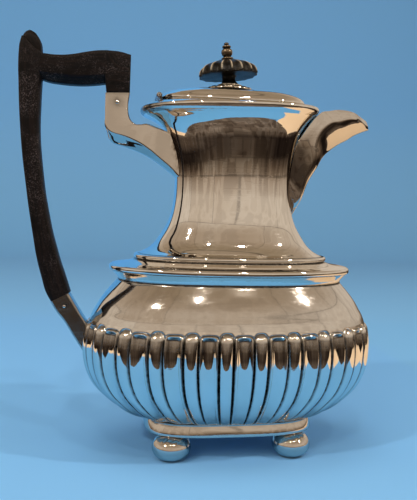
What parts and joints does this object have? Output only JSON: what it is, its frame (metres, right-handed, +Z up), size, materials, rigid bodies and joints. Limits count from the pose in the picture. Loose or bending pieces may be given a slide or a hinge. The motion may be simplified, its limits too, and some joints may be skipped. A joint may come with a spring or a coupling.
{
  "type": "coffee pot",
  "caption": "Half-fluted oblong silver coffee pot on bun feet, with a waisted neck, beak spout, hinged domed lid, dark finial and angular wooden handle.",
  "frame": {"origin": "middle of the overall length and width, on the plane that the four feet stand on", "axes": "+X towards the spout, -X towards the handle, +Z up the pot's axis, Y across the width"},
  "size_m": [0.2099, 0.1106, 0.2397],
  "materials": {
    "silver": "polished silver with fine scratches",
    "handle_wood": "ebonised hardwood, dull, worn and speckled",
    "finial_wood": "ebonised hardwood, worn bright on its ridges"
  },
  "bodies": {
    "pot": {"bowl": "silver", "shoulder": "silver", "ledge_moulding": "silver", "neck": "silver", "neck_bead": "silver", "rim_moulding": "silver", "spout": "silver", "foot_collar": "silver", "foot_plate": "silver", "foot_front_left": "silver", "foot_front_right": "silver", "foot_back_left": "silver", "foot_back_right": "silver", "upper_socket": "silver", "lower_socket": "silver", "handle": "handle_wood", "upper_handle_pin": "silver", "lower_handle_pin": "silver", "hinge_pot_knuckles": "silver", "hinge_pin": "silver"},
    "lid": {"lid": "silver", "lid_bezel": "silver", "hinge_lid_knuckle": "silver", "finial_rosette": "silver", "finial": "finial_wood", "finial_knop": "silver", "finial_washer": "silver", "finial_nut": "silver"}
  },
  "joints": [
    {"name": "lid_hinge", "type": "hinge", "parent": "pot", "child": "lid", "pos_m": [-0.0252, 0, 0.2044], "axis": [0, -1, 0], "range_deg": [0, 86]}
  ]
}
